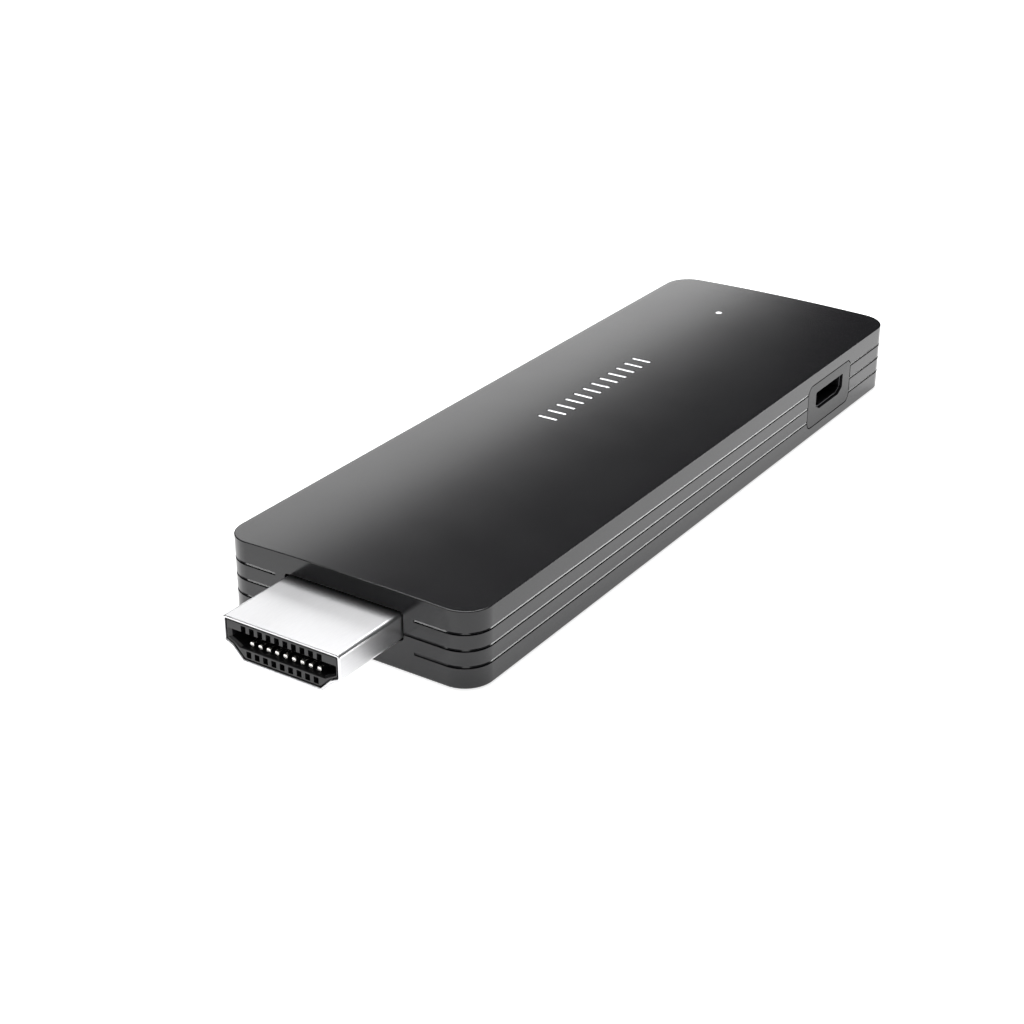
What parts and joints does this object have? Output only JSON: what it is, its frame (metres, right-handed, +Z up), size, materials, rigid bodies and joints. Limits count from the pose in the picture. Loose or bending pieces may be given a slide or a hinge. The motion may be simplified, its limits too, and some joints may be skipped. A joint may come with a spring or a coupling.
{
  "type": "streaming media player",
  "caption": "Plug-in streaming media player stick: flat two-shell case, display plug at one end, power socket and reset button in its sides, status light in its lid.",
  "frame": {"origin": "under the middle of the whole part, plug included, on the plane of the underside", "axes": "+Y from the plug to the tail, +Z up out of the lid, +X towards the side with the power socket"},
  "size_m": [0.0302, 0.101, 0.0086],
  "materials": {
    "case": "satin black moulded plastic",
    "bezel": "satin dark grey moulded plastic",
    "chrome": "polished",
    "clear": "clear, lightly frosted",
    "lamp": "gloss",
    "sleeve": "satin nickel plate",
    "insulator": "matte moulded plastic",
    "gold": "gold plate",
    "board": "green solder mask",
    "chip": "black moulding compound",
    "pad": "soft silicone",
    "coil": "ferrite",
    "spreader": "mill finish",
    "steel": "tin-plated sheet"
  },
  "bodies": {
    "case": {"antenna_left": "gold", "antenna_right": "gold", "badge_inlay": "chrome", "board_screw_left": "steel", "board_screw_right": "steel", "clock_crystal": "steel", "flash_pad": "pad", "flash_storage": "chip", "lid_pad": "pad", "light_pipe": "clear", "lower_shell": "case", "lower_spreader": "spreader", "main_board": "board", "memory_left": "chip", "memory_right": "chip", "plug_contact_lower_1": "gold", "plug_contact_lower_2": "gold", "plug_contact_lower_3": "gold", "plug_contact_lower_4": "gold", "plug_contact_lower_5": "gold", "plug_contact_lower_6": "gold", "plug_contact_lower_7": "gold", "plug_contact_lower_8": "gold", "plug_contact_lower_9": "gold", "plug_contact_upper_1": "gold", "plug_contact_upper_10": "gold", "plug_contact_upper_2": "gold", "plug_contact_upper_3": "gold", "plug_contact_upper_4": "gold", "plug_contact_upper_5": "gold", "plug_contact_upper_6": "gold", "plug_contact_upper_7": "gold", "plug_contact_upper_8": "gold", "plug_contact_upper_9": "gold", "plug_insulator": "insulator", "plug_sleeve": "sleeve", "port_bezel": "bezel", "power_chip": "chip", "power_coil": "coil", "processor": "chip", "processor_pad": "pad", "radio_module": "steel", "shield_frame": "steel", "shield_lid": "steel", "socket_contact_1": "gold", "socket_contact_2": "gold", "socket_contact_3": "gold", "socket_contact_4": "gold", "socket_contact_5": "gold", "socket_shell": "steel", "socket_tongue": "insulator", "status_led": "lamp", "switch_body": "steel", "upper_shell": "case", "upper_spreader": "spreader"},
    "button": {"reset_button": "case", "switch_plunger": "insulator"}
  },
  "joints": [
    {"name": "reset_press", "type": "slide", "parent": "case", "child": "button", "axis": [1, 0, 0], "range_m": [0, 0.00025], "stiffness_N_per_m": 400}
  ]
}
